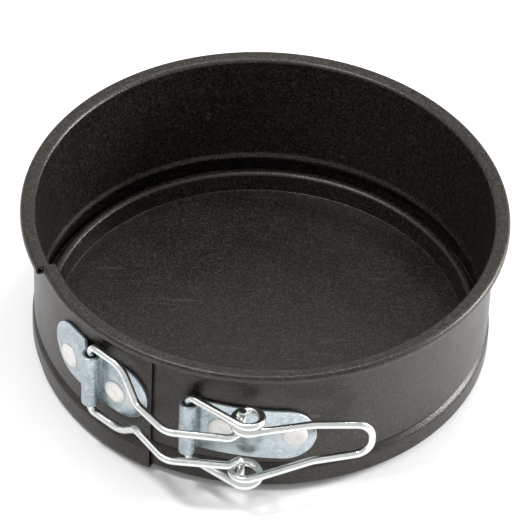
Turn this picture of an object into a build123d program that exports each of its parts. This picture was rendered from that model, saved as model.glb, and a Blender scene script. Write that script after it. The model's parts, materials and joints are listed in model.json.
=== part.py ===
"""Small springform cake pan: loose base disc, split band and over-centre wire latch.

Millimetres, +Z up. The origin is the centre of the base disc's underside, where the pan
stands. Azimuths are measured about Z from the front (-Y), positive towards +X.
"""
from build123d import *
import math
import os

# ---- band (the pan's side wall) ----
SHEET = 0.5                 # thickness of the band's sheet steel
WALL_R = 57.25              # mid-sheet radius of the straight wall
FOOT_R = 57.65              # mid-sheet radius below the base groove
FOOT_Z = 2.05               # mid-sheet height of the inward lip
LIP_R = 54.95               # inner edge of the lip that carries the base
GROOVE_R = 56.1             # mid-sheet radius of the pressed-in groove
GROOVE_Z = 7.6
GROOVE_TOP_Z = 9.5
RIM_Z = 41.1                # mid-sheet height of the rim's flat top
RIM_R = 60.7                # mid-sheet radius of the rim's turned-down edge
RIM_EDGE_Z = 39.2
PLAIN_TOP_Z = 38.15         # top of the overlapping strip, which has no rim

# ---- split line, overlap and opening hinges ----
HINGE_R = 61.1              # the band flexes about two upright lines just outside the rim
HINGE_AZ = 97.0
HINGE_GAP = 0.15            # half of the slit between two band segments, degrees
LAP_OFFSET = 0.85           # how far the left band steps outward over the right one
LAP_DROP = 0.8              # how far its foot passes below the right one
JOGGLE_AZ = (-72.0, -66.0)  # where it steps out
SEAM_AZ = -26.0             # end of the outer layer
TONGUE_AZ = -65.0           # end of the inner layer

# ---- base disc ----
BASE_SHEET = 0.6
FLOOR_R = 52.6
RIDGE_R = (54.0, 55.25)
RIDGE_Z = 5.2
BASE_EDGE_Z = 2.75

# ---- latch plates and rivets ----
CATCH_Z = 24.0              # mid height of the catch plate and of the bail in its knuckle
LEVER_Z = 21.3              # mid height of the lever, and of the bail at the lever's eyes
PLATE_T = 0.9
PLATE_H = 16.0
BARREL_R = 2.3
PIN_CLEARANCE = 0.06
RIVET_SHANK_R = 1.5
RIVET_HEAD_R = 3.15
RIVET_HEAD_H = 0.6
TAIL_R = 2.5
TAIL_H = 0.5
CATCH_PLATE_AZ = (-58.3, -26.6)
CATCH_RIVET_AZ = (-52.0, -35.8)
CATCH_RIVET_Z = 22.2        # the rivets sit below the plate's middle
LEVER_PLATE_AZ = (-17.7, 14.8)
LEVER_RIVET_AZ = (-8.5, 9.5)
LEVER_PLATE_TILT = 4.4      # the lever plate slopes down to the right by this many degrees
BAIL_PIVOT = (61.0, -41.8)  # radius, azimuth
LEVER_PIVOT = (60.2, -15.8)

# ---- wires ----
WIRE_R = 1.0
EYE = (-2.0, -64.0)         # upright axis of the lever's two eyes
EYE_R = 3.5                 # mean radius of an eye
EYE_LAYERS = (10.0, 8.1)    # heights of an eye's two layers above the lever's mid plane
EYE_WRAP_DEG = 325.0        # wrap of the outer layer
HANDLE_WRAP_DEG = 190.0     # wrap of the inner layer
KINK = (14.0, -61.7, 6.1)   # kink in each side of the handle
HANDLE_END = (28.1, -59.2, 4.6)
PIN_DEPTH_Z = 3.0           # each lever wire end stops this far from the mid plane
BAIL_H = 10.7               # half height of the bail's wide end
BAIL_BENDS = (              # x, y, half height, height of the mid plane
    (-33.0, -51.7, BAIL_H, CATCH_Z - 0.6),
    (-29.0, -56.8, 4.2, CATCH_Z - 1.5),
    (-21.5, -65.5, 4.8, CATCH_Z - 2.3),
    (-4.5, -66.3, 4.5, LEVER_Z),
)
BAIL_RADII = (5.0, 3.2, 5.0)

CUT_H = 80.0                # taller than anything cut with it


def at_azimuth(radius, azimuth, z=0.0):
    """Point at a radius and azimuth."""
    a = math.radians(azimuth)
    return Vector(radius * math.sin(a), -radius * math.cos(a), z)


def outward_plane(radius, azimuth, z):
    """Plane on the wall whose normal points outward at an azimuth."""
    out = at_azimuth(1.0, azimuth)
    return Plane(origin=at_azimuth(radius, azimuth, z), x_dir=(-out.Y, out.X, 0), z_dir=out)


def sheet_section(points, radii, thickness):
    """Constant-thickness section in the XZ plane along a filleted centre line of (r, z) points."""
    path = FilletPolyline(*[(r, 0, z) for r, z in points], radius=list(radii))
    return make_face(Wire(path.edges()).offset_2d(thickness / 2, kind=Kind.INTERSECTION))


def band_section(offset=0.0, drop=0.0, rim=True):
    """Section of the band, moved outward by offset, its foot lower by drop, with or without the rim."""
    points = [
        (LIP_R + 2 * offset, FOOT_Z - drop),
        (FOOT_R + offset, FOOT_Z - drop),
        (FOOT_R + offset, GROOVE_Z - 2.0),
        (GROOVE_R + offset, GROOVE_Z),
        (WALL_R + offset, GROOVE_TOP_Z),
    ]
    radii = [0.6, 0.9, 0.7, 1.0]
    if rim:
        points += [
            (WALL_R + offset, RIM_Z - 0.35),
            (RIM_R + offset, RIM_Z),
            (RIM_R + offset, RIM_EDGE_Z),
            (RIM_R + offset - 1.4, RIM_EDGE_Z - 0.2),
        ]
        radii += [0.9, 0.8, 0.7]
    else:
        points += [(WALL_R + offset, PLAIN_TOP_Z)]
    return sheet_section(points, radii, SHEET)


def swept_ring(section, start_azimuth, end_azimuth):
    """Revolve a section, drawn in the XZ plane on +X, from one azimuth to another."""
    ring = revolve(section, axis=Axis.Z, revolution_arc=end_azimuth - start_azimuth)
    return Rot(0, 0, start_azimuth - 90.0) * ring


def ring_segment(inner_r, outer_r, z0, z1, start_azimuth, end_azimuth):
    """Curved strip between two radii, two heights and two azimuths."""
    profile = Plane.XZ * Pos((inner_r + outer_r) / 2, (z0 + z1) / 2) * Rectangle(outer_r - inner_r, z1 - z0)
    return swept_ring(profile, start_azimuth, end_azimuth)


def lever_plate_z(azimuth):
    """Mid height of the sloping lever plate at an azimuth."""
    away = WALL_R * math.radians(azimuth - LEVER_PIVOT[1])
    return LEVER_Z - away * math.tan(math.radians(LEVER_PLATE_TILT))


def rivet_hole(azimuth, z):
    """Radial cutter for a rivet's shank."""
    start = outward_plane(WALL_R - 4.0, azimuth, z)
    return extrude(start * Circle(RIVET_SHANK_R + 0.04), amount=9.0)


def band_back():
    """Back segment of the band, between the two flexing lines."""
    return swept_ring(band_section(), HINGE_AZ + HINGE_GAP, 360.0 - HINGE_AZ - HINGE_GAP)


def band_right():
    """Right segment, ending in the inner layer of the overlap."""
    band = swept_ring(band_section(), TONGUE_AZ, HINGE_AZ - HINGE_GAP)
    for azimuth in LEVER_RIVET_AZ:
        band -= rivet_hole(azimuth, lever_plate_z(azimuth))
    return band


def band_left():
    """Left segment, which steps outward and ends in the outer layer of the overlap."""
    plain = swept_ring(band_section(), -HINGE_AZ + HINGE_GAP, JOGGLE_AZ[0])
    start = Rot(0, 0, JOGGLE_AZ[0] - 90.0) * band_section()
    end = Rot(0, 0, JOGGLE_AZ[1] - 90.0) * band_section(LAP_OFFSET, LAP_DROP)
    joggle = loft([start, end], ruled=True)
    outer = swept_ring(band_section(LAP_OFFSET, LAP_DROP, rim=False), JOGGLE_AZ[1], SEAM_AZ)
    band = plain + joggle + outer
    for azimuth in CATCH_RIVET_AZ:
        band -= rivet_hole(azimuth, CATCH_RIVET_Z)
    return band


def base_disc():
    """Pressed base: flat floor, raised edge and a short turned-down skirt."""
    points = [
        (FLOOR_R - 10.0, BASE_SHEET / 2),
        (FLOOR_R, BASE_SHEET / 2),
        (RIDGE_R[0], RIDGE_Z),
        (RIDGE_R[1], RIDGE_Z),
        (RIDGE_R[1], BASE_EDGE_Z),
    ]
    edge = revolve(sheet_section(points, [0.8, 0.6, 0.55], BASE_SHEET), axis=Axis.Z)
    floor = Pos(0, 0, BASE_SHEET / 2) * Cylinder(FLOOR_R - 9.9, BASE_SHEET)
    return floor + edge


def rounded_strip(inner_r, azimuths, mid_z, tilt=0.0):
    """Plate bent to the wall between two azimuths, with round ends, turned by tilt about its middle."""
    half = inner_r * math.sin(math.radians((azimuths[1] - azimuths[0]) / 2))
    shell = ring_segment(inner_r, inner_r + PLATE_T, mid_z - PLATE_H, mid_z + PLATE_H,
                         azimuths[0] - 4.0, azimuths[1] + 4.0)
    plane = outward_plane(inner_r - 12.0, sum(azimuths) / 2, mid_z)
    outline = Rot(0, 0, -tilt) * SlotOverall(2 * half, PLATE_H)
    return shell & extrude(plane * outline, amount=20.0)


def barrel(pivot, mid_z, plate_outer_r):
    """Upright knuckle on a plate and the neck that joins it to the plate."""
    tube = Pos(at_azimuth(*pivot, mid_z)) * Cylinder(BARREL_R, PLATE_H)
    neck = ring_segment(plate_outer_r - 0.2, pivot[0], mid_z - PLATE_H / 2, mid_z + PLATE_H / 2,
                        pivot[1] - 2.1, pivot[1] + 2.1)
    return tube + neck


def bore(pivot, mid_z):
    """Hole for the wire through a knuckle."""
    return Pos(at_azimuth(*pivot, mid_z)) * Cylinder(WIRE_R + PIN_CLEARANCE, CUT_H)


def catch_plate():
    """Left plate, riveted to the outer layer, whose knuckle holds the bail."""
    inner_r = WALL_R + LAP_OFFSET + SHEET / 2
    plate = rounded_strip(inner_r, CATCH_PLATE_AZ, CATCH_Z)
    plate += barrel(BAIL_PIVOT, CATCH_Z, inner_r + PLATE_T)
    for azimuth in CATCH_RIVET_AZ:
        plate -= rivet_hole(azimuth, CATCH_RIVET_Z)
    return plate - bore(BAIL_PIVOT, CATCH_Z)


def lever_plate():
    """Right plate, sloping a little, whose upright end knuckle holds the lever."""
    inner_r = WALL_R + SHEET / 2
    start, end = LEVER_PLATE_AZ
    hidden = 9.0
    mid = (start - hidden + end) / 2
    strip = rounded_strip(inner_r, (start - hidden, end), lever_plate_z(mid), LEVER_PLATE_TILT)
    strip &= ring_segment(inner_r - 1.0, inner_r + 3.0, 0.0, CUT_H / 2, start, end + 4.0)
    plate = strip + barrel(LEVER_PIVOT, LEVER_Z, inner_r + PLATE_T)
    for azimuth in LEVER_RIVET_AZ:
        plate -= rivet_hole(azimuth, lever_plate_z(azimuth))
    return plate - bore(LEVER_PIVOT, LEVER_Z)


def rivet(azimuth, z, inner_r, plate_outer_r, has_tail):
    """Domed rivet through a plate and the band; its tail is flush where the layers overlap."""
    head_plane = outward_plane(plate_outer_r - 0.6, azimuth, z)
    head = extrude(head_plane * Circle(RIVET_HEAD_R), amount=0.6 + RIVET_HEAD_H)
    dome_r = 14.0
    dome = Pos(at_azimuth(plate_outer_r + RIVET_HEAD_H - dome_r, azimuth, z)) * Sphere(dome_r)
    head = (head & dome) - Cylinder(plate_outer_r, CUT_H)
    start_r = inner_r - 0.3 if has_tail else inner_r + 0.03
    shank_plane = outward_plane(start_r, azimuth, z)
    body = head + extrude(shank_plane * Circle(RIVET_SHANK_R), amount=plate_outer_r + 0.3 - start_r)
    if has_tail:
        tail_plane = outward_plane(inner_r - TAIL_H, azimuth, z)
        tail = extrude(tail_plane * Circle(TAIL_R), amount=TAIL_H + 0.2)
        body += tail & Cylinder(inner_r, CUT_H)
    return body


def tube(path):
    """Round wire along a path."""
    start = Plane(origin=path @ 0, z_dir=path % 0)
    return sweep(start * Circle(WIRE_R), path=path)


def eye_point(angle, height):
    """Point on an eye's circle at an angle from +X."""
    a = math.radians(angle)
    return (EYE[0] + EYE_R * math.cos(a), EYE[1] + EYE_R * math.sin(a), LEVER_Z + height)


def lever_wire():
    """One wire: two ends in the knuckle, two eyes, and a closed handle."""
    pivot = at_azimuth(*LEVER_PIVOT)
    away = math.degrees(math.atan2(EYE[1] - pivot.Y, EYE[0] - pivot.X))
    reach = math.hypot(EYE[0] - pivot.X, EYE[1] - pivot.Y)
    arrive = away - math.degrees(math.asin(EYE_R / reach)) - 90.0
    kink_away = math.degrees(math.atan2(KINK[1] - EYE[1], KINK[0] - EYE[0]))
    kink_reach = math.hypot(KINK[1] - EYE[1], KINK[0] - EYE[0])
    leave = kink_away + math.degrees(math.asin(EYE_R / kink_reach)) - 90.0

    outer, inner = EYE_LAYERS
    arm = FilletPolyline(
        (pivot.X, pivot.Y, LEVER_Z + PIN_DEPTH_Z),
        (pivot.X, pivot.Y, LEVER_Z + outer),
        eye_point(arrive, outer),
        radius=[2.0],
    )
    wrap = ThreePointArc(
        eye_point(arrive, outer),
        eye_point(arrive + EYE_WRAP_DEG / 2, outer),
        eye_point(arrive + EYE_WRAP_DEG, outer),
    )
    arm_wire = tube(Wire(list(arm.edges()) + list(wrap.edges())))

    lead = 2.6
    heading = math.radians(leave + 90.0)
    tangent = eye_point(leave, inner)
    lead_point = (tangent[0] + lead * math.cos(heading), tangent[1] + lead * math.sin(heading), tangent[2])
    upper = [tangent, lead_point, (KINK[0], KINK[1], LEVER_Z + KINK[2])]
    upper.append((HANDLE_END[0], HANDLE_END[1], LEVER_Z + HANDLE_END[2]))
    lower = [(x, y, 2 * LEVER_Z - z) for x, y, z in reversed(upper)]
    handle = FilletPolyline(*(upper + lower), radius=[6.0, 6.0, 4.4, 4.4, 6.0, 6.0])
    wraps = []
    for sign in (1, -1):
        wraps.append(ThreePointArc(*[
            (x, y, LEVER_Z + sign * (z - LEVER_Z))
            for x, y, z in (
                eye_point(leave - HANDLE_WRAP_DEG, inner),
                eye_point(leave - HANDLE_WRAP_DEG / 2, inner),
                tangent,
            )
        ]))
    path = list(wraps[0].edges()) + list(handle.edges()) + list(wraps[1].edges())
    handle_wire = tube(Wire(path))
    mid_plane = Plane(origin=(0, 0, LEVER_Z), z_dir=(0, 0, 1))
    return handle_wire + arm_wire + mirror(arm_wire, about=mid_plane)


def bail_wire():
    """One wire: a straight side through the knuckle and two arms that narrow to the eyes."""
    pivot = at_azimuth(*BAIL_PIVOT)
    bends = [(pivot.X, pivot.Y, BAIL_H, CATCH_Z)] + list(BAIL_BENDS)
    upper = [(x, y, mid + h) for x, y, h, mid in bends]
    lower = [(x, y, mid - h) for x, y, h, mid in bends]
    radii = [1.8] + list(BAIL_RADII)
    points = list(reversed(upper)) + lower
    return tube(Wire(FilletPolyline(*points, radius=list(reversed(radii)) + radii).edges()))


def build():
    """Every piece by node name."""
    outer_layer_r = WALL_R + LAP_OFFSET - SHEET / 2
    wall_r = WALL_R - SHEET / 2
    pieces = {
        "base_disc": base_disc(),
        "band_back": band_back(),
        "band_left": band_left(),
        "band_right": band_right(),
        "catch_plate": catch_plate(),
        "lever_plate": lever_plate(),
        "bail_wire": bail_wire(),
        "lever_wire": lever_wire(),
    }
    for name, azimuth in zip(("rear", "front"), CATCH_RIVET_AZ):
        plate_outer_r = outer_layer_r + SHEET + PLATE_T
        pieces[f"catch_rivet_{name}"] = rivet(azimuth, CATCH_RIVET_Z, outer_layer_r, plate_outer_r, False)
    for name, azimuth in zip(("left", "right"), LEVER_RIVET_AZ):
        z = lever_plate_z(azimuth)
        pieces[f"lever_rivet_{name}"] = rivet(azimuth, z, wall_r, wall_r + SHEET + PLATE_T, True)
    return pieces


os.makedirs("parts", exist_ok=True)
for node, solid in build().items():
    export_step(solid, f"parts/{node}.step")
    print(node, "volume", round(solid.volume, 1), "solids", len(solid.solids()))
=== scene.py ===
# %% [markdown]
# # A small springform pan
#
# The pan is ten pieces: a loose base disc, one springy band that overlaps itself, two
# riveted plates, four rivets and two bent wires that make an over-centre latch.
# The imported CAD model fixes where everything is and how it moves. This lesson builds the
# visible surfaces around it: each is worked out with numpy on a grid, in metres, in the
# CAD model's own frame, and then gets a procedural finish.

# %% Load the frame
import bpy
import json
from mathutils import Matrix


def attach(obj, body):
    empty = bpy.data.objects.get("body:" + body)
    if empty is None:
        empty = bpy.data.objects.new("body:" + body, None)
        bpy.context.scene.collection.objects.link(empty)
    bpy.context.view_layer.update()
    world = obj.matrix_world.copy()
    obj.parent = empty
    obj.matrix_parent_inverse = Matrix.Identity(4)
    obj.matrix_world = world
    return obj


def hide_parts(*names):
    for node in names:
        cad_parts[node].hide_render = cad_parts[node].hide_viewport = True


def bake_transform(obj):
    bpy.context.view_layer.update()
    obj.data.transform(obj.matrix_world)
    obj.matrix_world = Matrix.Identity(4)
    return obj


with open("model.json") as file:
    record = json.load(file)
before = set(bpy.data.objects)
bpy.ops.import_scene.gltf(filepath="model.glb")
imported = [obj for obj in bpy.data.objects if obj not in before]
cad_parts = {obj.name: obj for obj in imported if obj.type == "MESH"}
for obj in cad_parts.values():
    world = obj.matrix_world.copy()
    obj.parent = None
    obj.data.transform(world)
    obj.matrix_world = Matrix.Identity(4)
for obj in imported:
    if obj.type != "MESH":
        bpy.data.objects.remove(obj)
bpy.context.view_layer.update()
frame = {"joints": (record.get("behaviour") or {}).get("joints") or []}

import json
import math
import bmesh
import bpy
import numpy as np
from mathutils import Matrix, Vector

MM = 0.001
JOINTS = {joint["name"]: joint for joint in frame["joints"]}

# %% [markdown]
# ## Driving sizes
#
# Lengths are in millimetres here, as on a drawing, and are turned into metres only when a
# mesh is made. Azimuths (AZ) are in degrees about the pan's axis from the front, which is
# -Y, positive towards +X. Sheet radii (R) and heights (Z) are those of the middle of the
# sheet. The joints' positions come from the frame, so a wire that turns in a knuckle is
# always centred on the hinge that the motion model uses.

# %% Sizes of the band, base and latch
SHEET = 0.5
WALL_R = 57.25
FOOT_R = 57.65
FOOT_Z = 2.05
LIP_R = 54.95
GROOVE_R = 56.35
GROOVE_LOW_Z = 7.0
GROOVE_Z = 8.3
GROOVE_TOP_Z = 9.8
RIM_Z = 41.1
RIM_R = 60.7
RIM_EDGE_Z = 39.2
PLAIN_TOP_Z = 38.2

LAP_GAP = 0.85
LAP_DROP = 0.8
LAP_START = -72.0
DROP_END = -66.0
RIM_CUT = -65.04
SEAM_AZ = -26.0
TONGUE_AZ = -65.0

BASE_SHEET = 0.6
FLOOR_Z = BASE_SHEET / 2
FLOOR_R = 52.5
CROWN = 0.12
CROWN_R = 50.0
RIDGE_Z = 5.3
BASE_EDGE_R = 55.4
BASE_EDGE_Z = 3.0
CATCH_Z = 24.0
CATCH_PLATE_SLOPE = 0.055
LEVER_Z = 21.3
LEVER_PLATE_SLOPE = 0.077
PLATE_T = 0.9
PLATE_HALF_H = 8.0
PLATE_CORNER_R = 0.28
THINNEST_HALF_H = 0.06
KNUCKLE_R = 1.82
CATCH_RIVETS = ((-52.0, 22.3), (-35.8, 22.1))
LEVER_RIVET_AZ = (-8.5, 9.5)
MOUNT_GAP = 0.02
WIRE_R = 1.0


def joint_place(name):
    """Plan position of an upright hinge, in millimetres."""
    x, y, _ = JOINTS[name]["pos_m"]
    return np.array([x, y]) / MM


BAIL_PIVOT = joint_place("bail_swing")
LEVER_PIVOT = joint_place("lever_swing")
print("knuckle axes:", BAIL_PIVOT.round(2), LEVER_PIVOT.round(2))

# %% [markdown]
# ## Two helpers for every shape
#
# A sheet-metal section and a bent wire are both a line with its corners rounded. The first
# helper rounds the corners of any line of points, in the plane or in space. The second
# turns a grid of points, rings placed one after another, into a closed mesh. With these
# two, a pressed wall, a folded plate and a coiled wire are all a profile carried along a
# path, and no shape needs a boolean cut.

# %% Round the corners of a line
def rounded_path(points, radii, straight_step=1.0, turn_step=6.0):
    """Points along a line whose corners are arcs.

    At each corner the arc starts and ends radius * tan(turn / 2) from the corner, and its
    centre lies on the bisector; between arcs the line is straight, cut every straight_step.
    """
    points = np.asarray(points, float)
    pieces = [points[:1]]
    for before, corner, after, radius in zip(points[:-2], points[1:-1], points[2:], radii):
        a = (before - corner) / np.linalg.norm(before - corner)
        b = (after - corner) / np.linalg.norm(after - corner)
        turn = math.pi - math.acos(np.clip(a @ b, -1, 1))
        reach = radius * math.tan(turn / 2)
        start, end = corner + a * reach, corner + b * reach
        middle = (a + b) / np.linalg.norm(a + b)
        centre = corner + middle * math.hypot(radius, reach)
        count = max(2, int(math.degrees(turn) / turn_step) + 1)
        t = np.linspace(0, 1, count + 1)[:, None]
        arc = (np.sin((1 - t) * turn) * (start - centre) + np.sin(t * turn) * (end - centre))
        pieces.append(centre + arc / math.sin(turn))
    pieces.append(points[-1:])
    line = [pieces[0]]
    for piece in pieces[1:]:
        gap = piece[0] - line[-1][-1]
        count = int(np.linalg.norm(gap) / straight_step)
        t = np.linspace(0, 1, count + 2)[1:-1, None]
        line += [line[-1][-1] + gap * t, piece]
    return np.concatenate([part for part in line if len(part)])


# %% Turn rings of points into a closed mesh
def ring_mesh(name, rings, ends="flat", extra=None):
    """Closed surface through rings of points, an array of (rings, points in a ring, 3) in mm.

    extra holds one vector for each point under a label, which a material can read.

    ends is "flat" for one face over each end ring, "strip" for quads that pair point i with
    point n-1-i, or "join" where the last ring meets the first.
    """
    rings = np.asarray(rings, float)
    count, sides, _ = rings.shape
    rows = count if ends == "join" else count - 1
    i, j = np.meshgrid(np.arange(rows), np.arange(sides), indexing="ij")
    here, there = i * sides, (i + 1) % count * sides
    following = (j + 1) % sides
    quads = np.stack([here + j, here + following, there + following, there + j], -1)
    faces = quads.reshape(-1, 4).tolist()
    last = (count - 1) * sides
    if ends == "flat":
        faces += [list(range(sides))[::-1], list(range(last, last + sides))]
    if ends == "strip":
        k = np.arange(sides // 2 - 1)
        mate = sides - 1 - k
        faces += np.stack([mate, mate - 1, k + 1, k], -1).tolist()
        faces += (last + np.stack([k, k + 1, mate - 1, mate], -1)).tolist()
    mesh = bpy.data.meshes.new(name)
    mesh.from_pydata((rings.reshape(-1, 3) * MM).tolist(), [], faces)
    for label, values in (extra or {}).items():
        layer = mesh.attributes.new(label, "FLOAT_VECTOR", "POINT")
        layer.data.foreach_set("vector", np.asarray(values, np.float32).ravel())
    mesh.validate()
    mesh.polygons.foreach_set("use_smooth", np.ones(len(mesh.polygons), bool))
    piece = bpy.data.objects.new(name, mesh)
    bpy.context.scene.collection.objects.link(piece)
    return piece


# %% Keep creases crisp and faces outward
def finish_mesh(piece, sharp_angle=38.0):
    """Merge doubled points, turn every face outward and keep edges over sharp_angle crisp."""
    work = bmesh.new()
    work.from_mesh(piece.data)
    bmesh.ops.remove_doubles(work, verts=work.verts, dist=2e-7)
    bmesh.ops.recalc_face_normals(work, faces=work.faces)
    limit = math.radians(sharp_angle)
    for edge in work.edges:
        edge.smooth = not (edge.is_manifold and edge.calc_face_angle(0) > limit)
    work.to_mesh(piece.data)
    work.free()
    size = [round((max(c) - min(c)) / MM, 1) for c in zip(*(v.co for v in piece.data.vertices))]
    print(f"{piece.name}: {len(piece.data.polygons)} faces, size in mm {size}")
    return piece


def ease(t):
    """Smooth step from 0 to 1: 3t^2 - 2t^3 with t held between 0 and 1."""
    t = np.clip(t, 0.0, 1.0)
    return t * t * (3 - 2 * t)


# %% [markdown]
# ## The band
#
# The wall is one strip of sheet steel. It is rolled to a profile: an inward lip at the
# foot carries the base, a pressed groove above the foot grips the base's edge, and the
# top is rolled outward and down into a stiff, smooth rim. The profile is a line with
# rounded corners, thickened by half the sheet's thickness to each side, and revolved.
#
# The strip's two ends overlap at the front left. The left end winds outward over the right
# end and loses its rim there, and the hidden end winds inward by as much. Those are small
# shifts of the revolved grid, so they stay smooth. The band is made in a left and a right
# half that meet at the back; on the real pan each half bends between the fixed back and the
# end that swings open. The left half's outer layer, which has no rim, is a piece of its own.

# %% Thicken a section
def sheet_outline(line, thickness, round_steps=5):
    """Closed outline of constant thickness around a line of (r, z) points.

    Each point moves half the thickness along the line's normal, to both sides, and each
    end is closed by a half circle of the same radius.
    """
    line = np.asarray(line, float)
    along = np.gradient(line, axis=0)
    along /= np.linalg.norm(along, axis=1)[:, None]
    along *= thickness / 2
    normal = np.stack([along[:, 1], -along[:, 0]], 1)
    half = np.linspace(0, math.pi / 2, round_steps + 2)[1:, None]
    outlines = []
    for side in (1, -1):
        start = line[0] + side * np.cos(half) * normal[0] - np.sin(half) * along[0]
        end = line[-1] + side * np.cos(half) * normal[-1] + np.sin(half) * along[-1]
        outlines.append(np.concatenate([start[::-1], line + side * normal, end]))
    return np.concatenate([outlines[0], outlines[1][::-1]])


# %% The band's centre line
def band_line():
    """(r, z) points of the band's mid-sheet line, from the lip at the foot to the tucked rim."""
    corners = [
        (LIP_R, FOOT_Z),
        (FOOT_R, FOOT_Z),
        (FOOT_R, GROOVE_LOW_Z),
        (GROOVE_R, GROOVE_Z),
        (WALL_R, GROOVE_TOP_Z),
        (WALL_R, RIM_Z - 0.35),
        (RIM_R, RIM_Z),
        (RIM_R, RIM_EDGE_Z),
        (RIM_R - 1.4, RIM_EDGE_Z - 0.2),
    ]
    radii = [0.6, 1.2, 0.5, 1.6, 0.9, 0.8, 0.7]
    return rounded_path(corners, radii, straight_step=0.9, turn_step=7.0)


BAND_LINE = band_line()
rim_outside = BAND_LINE[:, 0].max() + SHEET / 2
print("band section:", len(BAND_LINE), "points, rim radius", round(rim_outside, 2), "mm")


# %% Carry the section round the pan
def band_rings(outline, azimuths, outward, downward):
    """Rings of the outline at each azimuth, shifted outward and downward by two functions.

    A point at (r, z) and azimuth a goes to radius R = r + outward and height z - downward,
    which is the place (R sin a, -R cos a, z - downward).
    """
    a, r = np.meshgrid(np.radians(azimuths), outline[:, 0], indexing="ij")
    z = np.broadcast_to(outline[:, 1], r.shape)
    degrees = np.degrees(a)
    radius = r + outward(degrees, z)
    return np.stack([radius * np.sin(a), -radius * np.cos(a), z - downward(degrees, z)], -1)


def lap_rise(azimuth):
    """How far the outer layer has wound outward: none at the lap's start, all at the seam."""
    return LAP_GAP * ease((azimuth - LAP_START) / (SEAM_AZ - LAP_START))


def left_outward(azimuth, z):
    """The left end winds outward over the right one; its foot flares a little at the seam."""
    flare = 0.3 * ease((azimuth + 50) / 24) * ease((12 - z) / 10)
    return lap_rise(azimuth) + flare


def left_downward(azimuth, z):
    """The foot of the outer layer passes below the inner layer's foot."""
    step = ease((azimuth - LAP_START) / (DROP_END - LAP_START))
    return LAP_DROP * step * ease((7.0 - z) / 4.0)


def right_outward(azimuth, z):
    """The hidden end winds inward by the same gap, and the top of its tip leans in more."""
    lean = 0.6 * ease((-50 - azimuth) / 15) * ease((z - 28) / 13)
    return np.where(azimuth < SEAM_AZ, lap_rise(azimuth) - LAP_GAP, 0.0) - lean


def no_shift(azimuth, z):
    """No shift anywhere."""
    return np.zeros_like(azimuth)


# %% Make both halves of the band
full_outline = sheet_outline(BAND_LINE, SHEET)
highest_so_far = np.maximum.accumulate(BAND_LINE[:, 1])
plain_line = BAND_LINE[highest_so_far <= PLAIN_TOP_Z - 0.1]
plain_line = np.concatenate([plain_line, [[WALL_R, PLAIN_TOP_Z]]])
plain_outline = sheet_outline(plain_line, SHEET)

BAND_PARTS = [
    ("band_left_rimmed", full_outline, (-180, RIM_CUT, 116), left_outward, left_downward),
    ("band_left_lap", plain_outline, (RIM_CUT, SEAM_AZ, 41), left_outward, left_downward),
    ("band_right_half", full_outline, (TONGUE_AZ, 180, 246), right_outward, no_shift),
]
made = []
for name, outline, span, outward, downward in BAND_PARTS:
    rings = band_rings(outline, np.linspace(*span), outward, downward)
    made.append(finish_mesh(ring_mesh(name, rings, "strip")))
band_rim_part, band_lap_part, band_right_half = made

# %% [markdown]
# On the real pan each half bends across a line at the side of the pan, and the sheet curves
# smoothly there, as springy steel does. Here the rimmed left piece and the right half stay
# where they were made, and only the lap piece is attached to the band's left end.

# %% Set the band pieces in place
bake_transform(band_rim_part)
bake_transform(band_right_half)
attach(band_lap_part, "band_left")
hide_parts("band_left")
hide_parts("band_left")
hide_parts("band_right", "band_back")

# %% [markdown]
# ## The base disc
#
# The base is pressed from slightly thicker sheet. Its floor is flat, its edge rises in a
# short step to a rounded ridge inside the band's groove, and the last two millimetres are
# turned down towards the band's lip. It is one closed surface of revolution whose floor
# runs in to the axis.

# %% Make the base
def base_rings():
    """Rings of the base's closed outline, one for each azimuth; the floor shrinks to a pole."""
    corners = [
        (0.0, FLOOR_Z),
        (FLOOR_R, FLOOR_Z),
        (FLOOR_R + 1.0, RIDGE_Z),
        (BASE_EDGE_R, RIDGE_Z),
        (BASE_EDGE_R, BASE_EDGE_Z),
    ]
    line = rounded_path(corners, [0.5, 0.95, 0.75], straight_step=1.6, turn_step=10.0)
    outline = sheet_outline(line, BASE_SHEET)
    outline = outline[outline[:, 0] >= 0]
    crown = CROWN * ease(1 - outline[:, 0] / CROWN_R)
    a = np.linspace(0, 2 * math.pi, 361)[:-1, None]
    r = np.maximum(outline[:, 0], 0.0)[None]
    z = np.broadcast_to(outline[:, 1] + crown, (len(a), len(outline)))
    return np.stack([r * np.sin(a), -r * np.cos(a), z], -1)


base_piece = finish_mesh(ring_mesh("base_pan", base_rings(), "join"))
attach(base_piece, "base")
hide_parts("base_disc")

# %% [markdown]
# ## The latch plates
#
# Both plates are strips of zinc-plated sheet with a knuckle rolled in them. Seen from
# above, each is a line: along the wall, round the wire, and along the wall again. A
# rounded rectangle, the strip's cross-section, is carried along that line, and its height
# shrinks to nothing at the rounded ends, so the strip's outline and its bends are one
# surface.

# %% Lines in plan
def on_wall(radius, azimuth):
    """Plan position at a radius and azimuth."""
    a = np.radians(azimuth)
    return np.stack([radius * np.sin(a), -radius * np.cos(a)], -1)


def around(centre, radius, first, last, count=28):
    """Plan arc about a centre, from one angle to another, both measured from +X in degrees."""
    a = np.radians(np.linspace(first, last, count))
    return centre + radius * np.stack([np.cos(a), np.sin(a)], -1)


def along_line(places, known_places, values):
    """Each column of values at new places along a line."""
    return np.stack([np.interp(places, known_places, column) for column in values.T], -1)


def even(line, step=0.35):
    """The same line with points a fixed step apart, and how far along each one is."""
    length = np.concatenate([[0], np.cumsum(np.linalg.norm(np.diff(line, axis=0), axis=1))])
    places = np.linspace(0, length[-1], int(length[-1] / step) + 2)
    return along_line(places, length, line), places


# %% Carry the strip's section along a line
def end_half_height(distance):
    """Half the strip's height at a distance d from a round end: sqrt(H^2 - (H - d)^2)."""
    d = np.clip(distance, 0, PLATE_HALF_H)
    return np.sqrt(PLATE_HALF_H**2 - (PLATE_HALF_H - d) ** 2)


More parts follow.
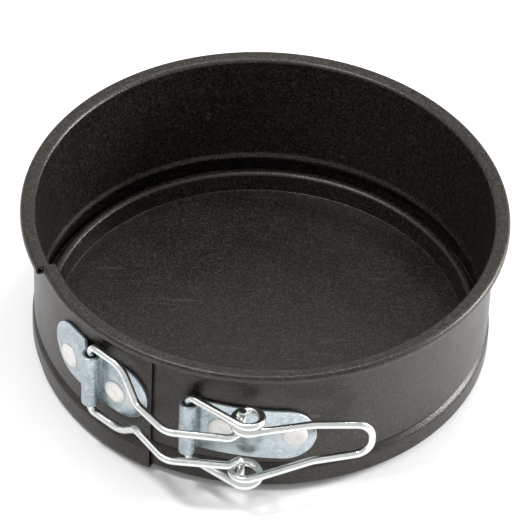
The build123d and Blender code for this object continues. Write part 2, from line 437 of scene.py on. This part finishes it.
def strip_piece(name, line, mid_height, round_first):
    """Strip of constant thickness along a line in plan, with a full-round last end.

    The section is a rectangle with rounded corners, as tall as the strip and one thickness
    wide; its height shrinks to nothing over a round end. The first end is round too where
    asked. mid_height gives the height of the section's middle at each azimuth.
    """
    line, line_places = even(line)
    places = line_places
    fine_steps = PLATE_HALF_H * (1 - np.cos(np.linspace(0, math.pi / 2, 26)))
    if round_first:
        places = np.concatenate([fine_steps, places[places > PLATE_HALF_H + 0.1]])
    tail = places[-1] - fine_steps[::-1]
    places = np.concatenate([places[places < tail[0] - 0.1], tail])
    centre = along_line(places, line_places, line)
    along = along_line(places, line_places, np.gradient(line, line_places, axis=0))
    along /= np.linalg.norm(along, axis=1)[:, None]
    normal = np.stack([along[:, 1], -along[:, 0]], -1)
    half = end_half_height(places[-1] - places)
    if round_first:
        half = np.minimum(half, end_half_height(places))
    half = np.maximum(half, THINNEST_HALF_H)
    q = np.radians(np.linspace(0, 90, 6))
    across = np.concatenate([np.cos(q), -np.sin(q), -np.cos(q), np.sin(q)])
    upward = np.concatenate([np.sin(q), np.cos(q), -np.sin(q), -np.cos(q)])
    side = np.concatenate([np.repeat(1, 6), np.repeat(-1, 12), np.repeat(1, 6)])
    lift = np.concatenate([np.repeat(1, 12), np.repeat(-1, 12)])
    width = side * (PLATE_T / 2 - PLATE_CORNER_R) + across * PLATE_CORNER_R
    reach = np.maximum(half - PLATE_CORNER_R, 0.0)[:, None]
    height = lift * reach + upward * np.minimum(PLATE_CORNER_R, half[:, None])
    middle = mid_height(np.degrees(np.arctan2(centre[:, 0], -centre[:, 1])))
    ring = np.stack([
        centre[:, :1] + normal[:, :1] * width,
        centre[:, 1:] + normal[:, 1:] * width,
        middle[:, None] + height,
    ], -1)
    return finish_mesh(ring_mesh(name, ring, "flat"), sharp_angle=50)


# %% The catch plate and the lever plate
CATCH_ENDS = (-58.3, -26.6)
LEVER_END = 14.8
SEATED = SHEET / 2 + PLATE_T / 2 + MOUNT_GAP


def azimuth_of(point):
    """Azimuth of a plan position, in degrees."""
    return math.degrees(math.atan2(point[0], -point[1]))


def catch_height(azimuth):
    """The catch plate slopes evenly down to the right, through its knuckle."""
    return CATCH_Z - CATCH_PLATE_SLOPE * WALL_R * np.radians(azimuth - azimuth_of(BAIL_PIVOT))


def lever_height(azimuth):
    """The lever plate slopes evenly down to the right from its knuckle."""
    away = WALL_R * np.radians(azimuth - azimuth_of(LEVER_PIVOT))
    return LEVER_Z - LEVER_PLATE_SLOPE * np.maximum(away, 0.0)


def catch_line():
    """Along the outer layer, smoothly round the bail, a sharp crease, and on to the end."""
    pin = azimuth_of(BAIL_PIVOT)
    left_azimuths = np.linspace(CATCH_ENDS[0], pin - 4.4, 30)
    right_azimuths = np.linspace(pin + 2.0, CATCH_ENDS[1], 34)
    left = on_wall(WALL_R + SEATED + lap_rise(left_azimuths), left_azimuths)
    loop = around(BAIL_PIVOT, KNUCKLE_R, pin - 90.0 - 100, pin - 90.0 + 118)
    right = on_wall(WALL_R + SEATED + lap_rise(right_azimuths), right_azimuths)
    return np.concatenate([left, loop, right])


def lever_line():
    """From the knuckle's wall side all the way round the lever's pin, and along the wall."""
    pin = azimuth_of(LEVER_PIVOT)
    loop = around(LEVER_PIVOT, KNUCKLE_R, pin - 90.0 - 168, pin - 90.0 + 120, 36)
    right = on_wall(WALL_R + SEATED, np.linspace(pin + 2.0, LEVER_END, 40))
    return np.concatenate([loop, right])


catch_piece = strip_piece("catch_plate_folded", catch_line(), catch_height, round_first=True)
lever_plate_piece = strip_piece(
    "lever_plate_folded", lever_line(), lever_height, round_first=False
)
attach(catch_piece, "band_left")
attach(lever_plate_piece, "band_right")
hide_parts("catch_plate")
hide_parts("lever_plate")

# %% [markdown]
# ## Rivets
#
# The rivets are soft aluminium, with a low wide head. The head is a dome with a rounded
# edge and a faint dimple from the tool. The lever plate's rivets have a low flat tail inside
# the pan; the catch plate's end flush, because the inner layer slides past them. Each rivet
# is one profile turned about its own axis, which is simpler than a half sphere, a shank and
# a tail joined together, and leaves no seams.

# %% Make a rivet on the wall
HEAD_PROFILE = [
    (0.0, 0.60), (0.4, 0.61), (0.75, 0.70), (1.1, 0.80), (1.6, 0.80), (2.1, 0.73),
    (2.55, 0.60), (2.85, 0.45), (3.05, 0.28), (3.13, 0.12), (3.08, 0.02),
]
TAIL_PROFILE = [(2.3, 0.02), (2.5, -0.12), (2.35, -0.34), (1.6, -0.48), (0.0, -0.5)]


def rivet_piece(name, azimuth, height, plate_r, inner_r, tail):
    """Surface of revolution about a line through the wall, bent to the wall where it touches.

    The profile is (distance from the rivet's axis, distance from the pan's axis). A point
    at a sideways distance s from the rivet's axis sinks by s^2 / (2 R), so that the edge of
    the head follows the plate.
    """
    profile = [(d, plate_r + h) for d, h in HEAD_PROFILE] + [(1.5, plate_r - 0.05)]
    if tail:
        profile += [(1.5, inner_r + 0.05)] + [(d, inner_r + h) for d, h in TAIL_PROFILE]
    else:
        profile += [(1.5, inner_r + 0.06), (1.4, inner_r + 0.03), (0.0, inner_r + 0.03)]
    profile = np.array(profile)
    a = np.linspace(0, 2 * math.pi, 65)[:-1, None]
    d, r = profile[:, 0][None], profile[:, 1][None]
    sideways, upward = d * np.cos(a), d * np.sin(a)
    r = r - sideways**2 / (2 * plate_r)
    out = on_wall(1.0, azimuth)
    across = np.array([-out[1], out[0]])
    rings = np.stack([
        r * out[0] + sideways * across[0],
        r * out[1] + sideways * across[1],
        height + upward,
    ], -1)
    return finish_mesh(ring_mesh(name, rings, "join"), sharp_angle=60)


RIVETS = [
    ("catch_rivet_rear", *CATCH_RIVETS[0], False, "band_left"),
    ("catch_rivet_front", *CATCH_RIVETS[1], False, "band_left"),
    ("lever_rivet_left", LEVER_RIVET_AZ[0], lever_height(LEVER_RIVET_AZ[0]), True, "band_right"),
    ("lever_rivet_right", LEVER_RIVET_AZ[1], lever_height(LEVER_RIVET_AZ[1]), True, "band_right"),
]
rivets = []
for node_name, azimuth, height, tail, body in RIVETS:
    rise = lap_rise(azimuth) if body == "band_left" else 0.0
    wall_inside = WALL_R - SHEET / 2 + rise
    plate_outside = wall_inside + SHEET + PLATE_T + MOUNT_GAP
    piece = rivet_piece(node_name + "_domed", azimuth, height, plate_outside, wall_inside, tail)
    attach(piece, body)
    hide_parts(node_name)
    rivets.append(piece)

# %% [markdown]
# ## The wires
#
# Both wires are 2 mm zinc-plated drawn wire, bent cold. A circle is carried along each
# wire's centre line. The lever's eyes are real coils: the wire comes in at the front of
# the eye, winds once round towards the middle of the latch, and leaves as the handle. The
# bail's two ends hook outward through the eyes.

# %% Carry a circle along a wire's line
DRAWN_STRETCH = 0.05
FIXED_DIRECTION = np.array([0.5, 0.5, 0.7071])


def wire_piece(name, line, sides=28, chamfer=0.18):
    """Tube about a line in space, with slightly rounded cut ends.

    Each ring lies in the plane across the line; its first spoke is one fixed direction with
    its part along the line taken away, so that rings never twist against each other.
    """
    line, places = even(np.asarray(line, float), 0.3)
    along = np.gradient(line, places, axis=0)
    along /= np.linalg.norm(along, axis=1)[:, None]
    spoke = FIXED_DIRECTION - along * (along @ FIXED_DIRECTION)[:, None]
    spoke /= np.linalg.norm(spoke, axis=1)[:, None]
    other = np.cross(along, spoke)
    end = np.minimum(places, places[-1] - places)
    size = WIRE_R - chamfer * (1 - ease(end / (2 * chamfer)))
    a = np.linspace(0, 2 * math.pi, sides + 1)[:-1]
    cos_a, sin_a = np.cos(a)[None, :, None], np.sin(a)[None, :, None]
    circle = cos_a * spoke[:, None] + sin_a * other[:, None]
    rings = line[:, None] + size[:, None, None] * circle
    shape = (len(line), sides)
    grain = np.stack([
        np.broadcast_to(np.cos(a), shape),
        np.broadcast_to(np.sin(a), shape),
        np.broadcast_to(places[:, None] * DRAWN_STRETCH, shape),
    ], -1)
    return finish_mesh(ring_mesh(name, rings, "flat", {"drawn": grain}), sharp_angle=55)


# %% The lever's line
EYE = np.array([-2.0, -64.0])
EYE_R = 3.5
EYE_TOP = 10.1
EYE_DROP = 2.35
KINK = (14.0, -61.7, 6.1)
HANDLE_END = (28.1, -59.2, 4.6)


def tangent_angle(away_from, side):
    """Angle on the eye's circle where a line from a point touches it.

    The line makes the angle asin(eye radius / distance) with the line of centres, and the
    touching radius stands square to it.
    """
    dx, dy = side * (np.asarray(away_from)[:2] - EYE)
    slant = math.asin(EYE_R / math.hypot(dx, dy))
    return math.degrees(math.atan2(dy, dx) + side * slant) - 90.0


def lever_line_3d():
    """Knuckle, arm, helical eye, kinked side and handle end, mirrored about the mid plane."""
    arrive = tangent_angle(LEVER_PIVOT, -1)
    leave = tangent_angle(KINK, 1) + 360.0
    a = np.radians(np.linspace(arrive, leave, 84))
    t = np.linspace(0, 1, 84)
    height = EYE_TOP - EYE_DROP * (0.5 * t + 0.5 * ease(t))
    coil = np.stack([EYE[0] + EYE_R * np.cos(a), EYE[1] + EYE_R * np.sin(a), height], -1)
    pin = (*LEVER_PIVOT, 3.0)
    arm = rounded_path([pin, (*LEVER_PIVOT, EYE_TOP), coil[0]], [2.0])
    heading = math.radians(leave + 90.0)
    lead = coil[-1] + 2.6 * np.array([math.cos(heading), math.sin(heading), -0.06])
    handle_end = np.array(HANDLE_END)
    handle_middle = handle_end * (1, 1, 0)
    side = rounded_path([coil[-1], lead, KINK, handle_end, handle_middle], [6.0, 6.0, 4.4])
    upper = np.concatenate([arm, coil[1:], side[1:]])
    lower = upper[::-1][1:] * (1, 1, -1)
    return np.concatenate([upper, lower]) + (0, 0, LEVER_Z)


# %% The bail's line
BAIL_H = 10.7
BAIL_RADII = [1.9, 6.5, 3.4, 5.5, 2.0, 1.4]


def bail_line_3d():
    """Straight side in the knuckle, two arms that narrow, and ends hooked through the eyes.

    Each bend is given by its plan position, its half height and the height of the mid plane
    there, which runs from the catch plate's middle to the lever's.
    """
    hook = EYE + (-1.15, 0.35)
    bends = np.array([
        (*BAIL_PIVOT, 0.0, CATCH_Z),
        (*BAIL_PIVOT, BAIL_H, CATCH_Z),
        (-33.0, -51.7, BAIL_H, CATCH_Z - 0.6),
        (-29.0, -56.8, 4.2, CATCH_Z - 1.5),
        (-21.5, -65.5, 4.8, CATCH_Z - 2.3),
        (-6.0, -66.2, 4.6, LEVER_Z),
        (hook[0], hook[1], 4.6, LEVER_Z),
        (hook[0], hook[1], 11.5, LEVER_Z),
    ])
    sides = []
    for sign in (1, -1):
        points = np.stack([bends[:, 0], bends[:, 1], bends[:, 3] + sign * bends[:, 2]], -1)
        sides.append(rounded_path(points, BAIL_RADII))
    return np.concatenate([sides[0][::-1], sides[1][1:]])


lever_piece = wire_piece("lever_wire_bent", lever_line_3d())
bail_piece = wire_piece("bail_wire_bent", bail_line_3d())
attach(lever_piece, "lever")
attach(bail_piece, "bail")
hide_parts("lever_wire")
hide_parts("bail_wire")

# %% [markdown]
# ## Finishes
#
# Four finishes cover the pan: the dark non-stick coating, zinc-plated sheet, drawn
# zinc-plated wire and matte aluminium. What they share, fine grain and sparse fine
# scratches, is made once as node groups that put out only masks, and each material mixes
# its own colours and roughness from them.

# %% A small node helper
def node(tree, kind, inputs=None, **settings):
    """Add a node, set its properties, and set or link its inputs by name or number."""
    made = tree.nodes.new(kind)
    for key, value in settings.items():
        setattr(made, key, value)
    for key, value in (inputs or {}).items():
        if isinstance(value, bpy.types.NodeSocket):
            tree.links.new(value, made.inputs[key])
        else:
            made.inputs[key].default_value = value
    return made


def new_group(name, inputs, outputs):
    """Empty shader group with float inputs, given as name: default, and float outputs."""
    group = bpy.data.node_groups.new(name, "ShaderNodeTree")
    group.interface.new_socket("Vector", in_out="INPUT", socket_type="NodeSocketVector")
    for label, default in inputs.items():
        socket = group.interface.new_socket(label, in_out="INPUT", socket_type="NodeSocketFloat")
        socket.default_value = default
    for label in outputs:
        group.interface.new_socket(label, in_out="OUTPUT", socket_type="NodeSocketFloat")
    return group, group.nodes.new("NodeGroupInput"), group.nodes.new("NodeGroupOutput")


def place(tree, group, inputs):
    """Use a group in a material, with its inputs set or linked by name."""
    return node(tree, "ShaderNodeGroup", inputs, node_tree=group)


def math_node(tree, operation, a, b, clamp=False):
    """Result socket of one sum."""
    made = node(tree, "ShaderNodeMath", {0: a, 1: b}, operation=operation, use_clamp=clamp)
    return made.outputs[0]


def noise(tree, vector, scale, **inputs):
    """Socket of a noise between about 0.3 and 0.7; inputs sets Detail, Roughness, Distortion."""
    sockets = {"Vector": vector, "Scale": scale, **inputs}
    return node(tree, "ShaderNodeTexNoise", sockets).outputs["Fac"]


def spread(tree, value, low, high, to_low=0.0, to_high=1.0):
    """Socket of a value, stretched from low..high to to_low..to_high and held there."""
    made = node(tree, "ShaderNodeMapRange", {
        "Value": value, "From Min": low, "From Max": high, "To Min": to_low, "To Max": to_high,
    })
    return made.outputs[0]


def mix_color(tree, factor, a, b):
    """Colour socket between two colours."""
    made = node(tree, "ShaderNodeMix", {0: factor, 6: a, 7: b}, data_type="RGBA")
    return made.outputs[2]


# %% Group: grain
def grain_group():
    """Speckle, bright grains in fine noise; Cloud, slow variation; Height, the fine noise."""
    group, entry, exit_ = new_group(
        "grain", {"Fine": 2600.0, "Coarse": 90.0}, ["Speckle", "Cloud", "Height"]
    )
    where, fine_scale = entry.outputs["Vector"], entry.outputs["Fine"]
    fine = noise(group, where, fine_scale, Detail=2.0, Roughness=0.7)
    cells = node(group, "ShaderNodeTexVoronoi", {"Vector": where, "Scale": fine_scale})
    slow = noise(group, where, entry.outputs["Coarse"], Detail=4.0, Roughness=0.6)
    tint = node(group, "ShaderNodeSeparateColor", {"Color": cells.outputs["Color"]})
    bright = spread(group, tint.outputs[0], 0.72, 0.98)
    soft = spread(group, fine, 0.42, 0.62)
    speckle = math_node(group, "MULTIPLY", soft, 0.55)
    both = math_node(group, "ADD", speckle, math_node(group, "MULTIPLY", bright, 0.6), clamp=True)
    group.links.new(both, exit_.inputs["Speckle"])
    group.links.new(slow, exit_.inputs["Cloud"])
    group.links.new(fine, exit_.inputs["Height"])
    return group


# %% Group: scratches
SCRATCH_RUNS = ((0.35, 34.0), (-0.8, 26.0), (1.9, 30.0))


def scratch_group():
    """Fine lines in three directions.

    Each is very stretched noise, kept only where it peaks, and all of them only where a
    slow mask allows.
    """
    group, entry, exit_ = new_group("scratches", {"Scale": 60.0, "Amount": 0.5}, ["Mask"])
    where = entry.outputs["Vector"]
    lines = []
    for turn, stretch in SCRATCH_RUNS:
        turned = node(group, "ShaderNodeMapping", {
            "Vector": where,
            "Rotation": (0.25, turn, turn),
            "Scale": (1.0, stretch, stretch * 0.3),
        })
        streaks = noise(
            group, turned.outputs[0], entry.outputs["Scale"], Detail=1.0, Distortion=0.15
        )
        lines.append(spread(group, streaks, 0.70, 0.76))
    two = math_node(group, "ADD", lines[0], lines[1])
    total = math_node(group, "ADD", two, lines[2], clamp=True)
    allowed = spread(group, noise(group, where, 38.0, Detail=2.0), 0.5, 0.62)
    masked = math_node(group, "MULTIPLY", total, allowed)
    shown = math_node(group, "MULTIPLY", masked, entry.outputs["Amount"])
    group.links.new(shown, exit_.inputs["Mask"])
    return group


GRAIN = grain_group()
SCRATCHES = scratch_group()


# %% A material's common start
def new_material(name):
    """Material with a Principled shader, and its tree, shader and object coordinates."""
    material = bpy.data.materials.new(name)
    material.use_nodes = True
    tree = material.node_tree
    shader = tree.nodes["Principled BSDF"]
    coordinates = node(tree, "ShaderNodeTexCoord").outputs["Object"]
    return material, tree, shader, coordinates


def bump(tree, shader, height, strength, distance):
    """Feed a height into the shader's normal; distance is the full height, in metres."""
    inputs = {"Height": height, "Strength": strength, "Distance": distance}
    tree.links.new(node(tree, "ShaderNodeBump", inputs).outputs[0], shader.inputs["Normal"])


# %% [markdown]
# The coating is a dark warm grey with a fine metallic fleck, neither matte nor glossy: its
# sheen is broad, and up close it is full of small lighter grains. The fine grain goes into
# the colour and the height, and the slow variation into the roughness. Use has left a few
# hair-fine lighter scratches.

# %% The coating
def coating():
    """Dark non-stick coating with fleck, soft sheen and faint scratches."""
    material, tree, shader, where = new_material("nonstick_coating")
    grain = place(tree, GRAIN, {"Vector": where, "Fine": 2000.0, "Coarse": 70.0})
    scratch = place(tree, SCRATCHES, {"Vector": where, "Scale": 46.0, "Amount": 0.2})
    dark, light = (0.0002, 0.00015, 0.0001, 1), (0.034, 0.026, 0.020, 1)
    color = mix_color(tree, grain.outputs["Speckle"], dark, light)
    color = mix_color(tree, scratch.outputs["Mask"], color, (0.16, 0.15, 0.14, 1))
    tree.links.new(color, shader.inputs["Base Color"])
    rough = spread(tree, grain.outputs["Cloud"], 0.3, 0.7, 0.30, 0.38)
    tree.links.new(rough, shader.inputs["Roughness"])
    shader.inputs["Metallic"].default_value = 0.0
    shader.inputs["IOR"].default_value = 1.5
    shader.inputs["Specular Tint"].default_value = (1.0, 0.93, 0.86, 1)
    bump(tree, shader, grain.outputs["Height"], 0.8, 0.00012)
    return material


# %% [markdown]
# Zinc plating is bright but never clean: it is slightly blue, clouded in soft patches, and
# brushed by handling. The sheet parts are duller than the wire, whose drawing left faint
# lines along its length. Those lines follow the wire's own coordinates, which were stored
# on its mesh as a place on the unit circle and a distance along.

# %% Zinc on sheet and on wire
def zinc_sheet():
    """Satin zinc plate: soft blue-grey clouds, darker smudges and small scratches."""
    material, tree, shader, where = new_material("zinc_sheet")
    grain = place(tree, GRAIN, {"Vector": where, "Fine": 1500.0, "Coarse": 190.0})
    broad = place(tree, GRAIN, {"Vector": where, "Fine": 900.0, "Coarse": 75.0})
    scratch = place(tree, SCRATCHES, {"Vector": where, "Scale": 120.0, "Amount": 0.4})
    cloud = spread(tree, grain.outputs["Cloud"], 0.38, 0.62)
    smudge = spread(tree, broad.outputs["Cloud"], 0.46, 0.60, 0.0, 0.45)
    fleck = math_node(tree, "MULTIPLY", grain.outputs["Speckle"], 0.3)
    color = mix_color(tree, cloud, (0.30, 0.35, 0.38, 1), (0.50, 0.55, 0.57, 1))
    color = mix_color(tree, smudge, color, (0.24, 0.30, 0.33, 1))
    color = mix_color(tree, fleck, color, (0.78, 0.82, 0.83, 1))
    color = mix_color(tree, scratch.outputs["Mask"], color, (0.85, 0.88, 0.90, 1))
    tree.links.new(color, shader.inputs["Base Color"])
    rough = spread(tree, cloud, 0.0, 1.0, 0.26, 0.42)
    tree.links.new(rough, shader.inputs["Roughness"])
    shader.inputs["Metallic"].default_value = 0.9
    bump(tree, shader, grain.outputs["Cloud"], 0.45, 0.0003)
    return material


def zinc_wire():
    """Bright zinc wire with faint drawn lines along it."""
    material, tree, shader, where = new_material("bright_zinc")
    drawn = node(tree, "ShaderNodeAttribute", attribute_name="drawn").outputs["Vector"]
    lines = noise(tree, drawn, 7.0, Detail=4.0, Roughness=0.7)
    grain = place(tree, GRAIN, {"Vector": where, "Fine": 1800.0, "Coarse": 260.0})
    color = mix_color(tree, lines, (0.50, 0.54, 0.54, 1), (0.86, 0.86, 0.83, 1))
    patch = spread(tree, grain.outputs["Cloud"], 0.52, 0.66, 0.0, 0.5)
    color = mix_color(tree, patch, color, (0.42, 0.49, 0.51, 1))
    tree.links.new(color, shader.inputs["Base Color"])
    rough = spread(tree, lines, 0.3, 0.7, 0.14, 0.28)
    tree.links.new(rough, shader.inputs["Roughness"])
    shader.inputs["Metallic"].default_value = 1.0
    bump(tree, shader, lines, 0.25, 0.00008)
    return material


# %% Aluminium rivets
def rivet_metal():
    """Matte, slightly warm aluminium with small dents."""
    material, tree, shader, where = new_material("rivet_aluminium")
    grain = place(tree, GRAIN, {"Vector": where, "Fine": 1700.0, "Coarse": 520.0})
    color = mix_color(tree, grain.outputs["Cloud"], (0.58, 0.565, 0.54, 1), (0.86, 0.84, 0.81, 1))
    tree.links.new(color, shader.inputs["Base Color"])
    rough = spread(tree, grain.outputs["Cloud"], 0.3, 0.7, 0.40, 0.55)
    tree.links.new(rough, shader.inputs["Roughness"])
    shader.inputs["Metallic"].default_value = 0.35
    bump(tree, shader, grain.outputs["Cloud"], 0.5, 0.0003)
    return material


# %% Give each piece its finish
FINISHES = [
    (coating(), "coating", [band_rim_part, band_lap_part, band_right_half, base_piece]),
    (zinc_sheet(), "zinc_plate", [catch_piece, lever_plate_piece]),
    (zinc_wire(), "zinc_wire", [lever_piece, bail_piece]),
    (rivet_metal(), "rivet", rivets),
]
for material, slot_name, pieces in FINISHES:
    for piece in pieces:
        piece.data.materials.clear()
        piece.data.materials.append(material)
    print(material.name, "on", len(pieces), "pieces")

# %% [markdown]
# ## Floor, light and camera
#
# The pan stands on a plain pale floor in an evenly lit white room. One soft light stands low
# at the right, which brightens the right end of the wall and the rim. Two small ones hang
# high up, one to the front left and one behind, and draw the glints on the rolled rim, the
# groove and the wires. The camera looks down at 43 degrees from the latch's side, far away,
# so that the perspective is gentle.

# %% Floor
FLOOR_DISC_R = 2500
FLOOR_CORNERS = 96
FLOOR_GAP = 0.02


def floor_piece():
    """Large pale disc just under the pan."""
    a = np.linspace(0, 2 * math.pi, FLOOR_CORNERS + 1)[:-1]
    level = np.full(FLOOR_CORNERS, -FLOOR_GAP)
    corners = np.stack([FLOOR_DISC_R * np.cos(a), FLOOR_DISC_R * np.sin(a), level], -1) * MM
    mesh = bpy.data.meshes.new("floor")
    mesh.from_pydata(corners.tolist(), [], [list(range(FLOOR_CORNERS))])
    floor = bpy.data.objects.new("floor", mesh)
    bpy.context.scene.collection.objects.link(floor)
    material, tree, shader, where = new_material("pale_floor")
    paper = noise(tree, where, 30.0, Detail=3.0)
    color = mix_color(tree, paper, (0.90, 0.90, 0.90, 1), (0.94, 0.94, 0.94, 1))
    tree.links.new(color, shader.inputs["Base Color"])
    shader.inputs["Roughness"].default_value = 0.8
    mesh.materials.append(material)
    return floor


floor_piece()


# %% Lights
LIGHT_TARGET = (0, 0, 20)


def area_light(name, place_mm, size_mm, watts):
    """Square soft light at a place, turned to the middle of the pan."""
    data = bpy.data.lights.new(name, "AREA")
    data.size = size_mm * MM
    data.energy = watts
    light = bpy.data.objects.new(name, data)
    light.location = Vector(place_mm) * MM
    aim = Vector(LIGHT_TARGET) * MM - light.location
    light.rotation_euler = aim.to_track_quat("-Z", "Y").to_euler()
    bpy.context.scene.collection.objects.link(light)
    return light


area_light("right_soft", (840, 190, 360), 320, 11.5)
area_light("overhead_soft", (-330, -160, 940), 150, 5.0)
area_light("back_overhead_soft", (170, 300, 930), 140, 2.0)

world = bpy.data.worlds.new("white_room")
bpy.context.scene.world = world
world.use_nodes = True
room = world.node_tree.nodes["Background"].inputs
room["Color"].default_value = (1, 1, 1, 1)
room["Strength"].default_value = 0.80
bpy.context.scene.view_settings.view_transform = "Standard"

# %% Camera
CAMERA_DISTANCE = 1100.8
CAMERA_ELEVATION = 43.41
CAMERA_ROLL = 2.61
CAMERA_LENS = 292.7
CAMERA_SHIFT = (0.0105, 0.1073)
AIM_Z = 1.8


def pan_camera():
    """Camera in front of the pan, looking along +Y and down, rolled slightly to its left.

    Its right and up axes are the level ones turned by the roll; the shift moves the pan's
    axis below the middle of the frame.
    """
    data = bpy.data.cameras.new("camera")
    data.sensor_width = 36.0
    data.lens = CAMERA_LENS
    data.shift_x, data.shift_y = CAMERA_SHIFT
    data.clip_end = 20.0
    e, roll = math.radians(CAMERA_ELEVATION), math.radians(CAMERA_ROLL)
    forward = Vector((0, math.cos(e), -math.sin(e)))
    right = Vector((1, 0, 0))
    up = right.cross(forward)
    x_axis = right * math.cos(roll) + up * math.sin(roll)
    y_axis = up * math.cos(roll) - right * math.sin(roll)
    turn = Matrix((x_axis, y_axis, -forward)).transposed().to_4x4()
    camera = bpy.data.objects.new("camera", data)
    stand = (Vector((0, 0, AIM_Z)) - forward * CAMERA_DISTANCE) * MM
    camera.matrix_world = Matrix.Translation(stand) @ turn
    bpy.context.scene.collection.objects.link(camera)
    bpy.context.scene.camera = camera
    return camera


camera = pan_camera()
print("camera stands at, in mm:", [round(v / MM) for v in camera.matrix_world.translation])
